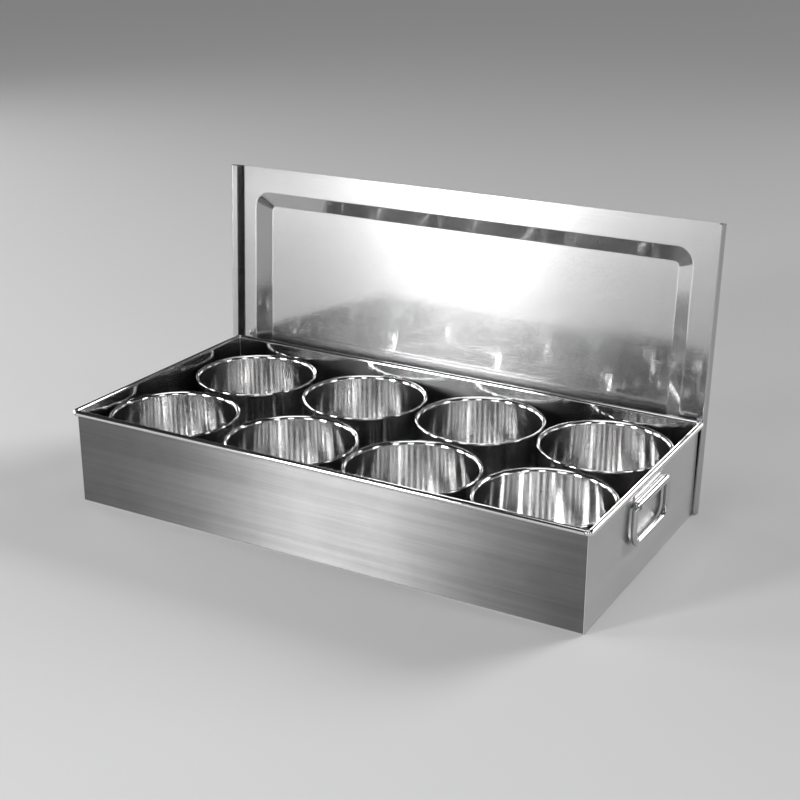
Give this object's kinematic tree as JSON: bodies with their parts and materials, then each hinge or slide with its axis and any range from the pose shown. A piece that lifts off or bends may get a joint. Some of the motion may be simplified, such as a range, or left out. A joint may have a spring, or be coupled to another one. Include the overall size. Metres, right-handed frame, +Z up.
{
  "type": "condiment box",
  "caption": "Open stainless tray of loose round cups for condiments, with a drop handle at each end and a pressed slide-on lid stood behind it.",
  "frame": {"origin": "middle of the tray's floor, on the surface that it stands on", "axes": "+X along the longer rows of cups, +Y from the front wall to the lid behind, +Z up"},
  "size_m": [0.501, 0.2734, 0.256],
  "materials": {
    "tray_steel": "brushed along the walls",
    "handle_steel": "polished",
    "cup_steel": "polished",
    "lid_steel": "satin polished"
  },
  "bodies": {
    "tray": {"tray_body": "tray_steel", "end_panel_left": "tray_steel", "end_panel_right": "tray_steel", "handle_strap_left": "handle_steel", "handle_strap_right": "handle_steel"},
    "lid": {"lid": "lid_steel"},
    "bail_right": {"bail_handle_right": "handle_steel"},
    "bail_left": {"bail_handle_left": "handle_steel"},
    "cup_front_1": {"cup_front_1": "cup_steel"},
    "cup_front_2": {"cup_front_2": "cup_steel"},
    "cup_front_3": {"cup_front_3": "cup_steel"},
    "cup_front_4": {"cup_front_4": "cup_steel"},
    "cup_back_1": {"cup_back_1": "cup_steel"},
    "cup_back_2": {"cup_back_2": "cup_steel"},
    "cup_back_3": {"cup_back_3": "cup_steel"},
    "cup_back_4": {"cup_back_4": "cup_steel"}
  },
  "joints": [
    {"name": "lid_lift", "type": "slide", "parent": "tray", "child": "lid", "axis": [0, 0.0521, 0.9986], "range_m": [0, 0.1]},
    {"name": "bail_right_swing", "type": "hinge", "parent": "tray", "child": "bail_right", "pos_m": [0.24358, 0, 0.0695], "axis": [0, -1, 0], "range_deg": [-1.4, 165]},
    {"name": "bail_left_swing", "type": "hinge", "parent": "tray", "child": "bail_left", "pos_m": [-0.24358, 0, 0.0695], "axis": [0, 1, 0], "range_deg": [-1.4, 165]},
    {"name": "cup_front_1_lift", "type": "slide", "parent": "tray", "child": "cup_front_1", "axis": [0, 0, 1], "range_m": [0, 0.095]},
    {"name": "cup_front_2_lift", "type": "slide", "parent": "tray", "child": "cup_front_2", "axis": [0, 0, 1], "range_m": [0, 0.095]},
    {"name": "cup_front_3_lift", "type": "slide", "parent": "tray", "child": "cup_front_3", "axis": [0, 0, 1], "range_m": [0, 0.095]},
    {"name": "cup_front_4_lift", "type": "slide", "parent": "tray", "child": "cup_front_4", "axis": [0, 0, 1], "range_m": [0, 0.095]},
    {"name": "cup_back_1_lift", "type": "slide", "parent": "tray", "child": "cup_back_1", "axis": [0, 0, 1], "range_m": [0, 0.095]},
    {"name": "cup_back_2_lift", "type": "slide", "parent": "tray", "child": "cup_back_2", "axis": [0, 0, 1], "range_m": [0, 0.095]},
    {"name": "cup_back_3_lift", "type": "slide", "parent": "tray", "child": "cup_back_3", "axis": [0, 0, 1], "range_m": [0, 0.095]},
    {"name": "cup_back_4_lift", "type": "slide", "parent": "tray", "child": "cup_back_4", "axis": [0, 0, 1], "range_m": [0, 0.095]}
  ]
}
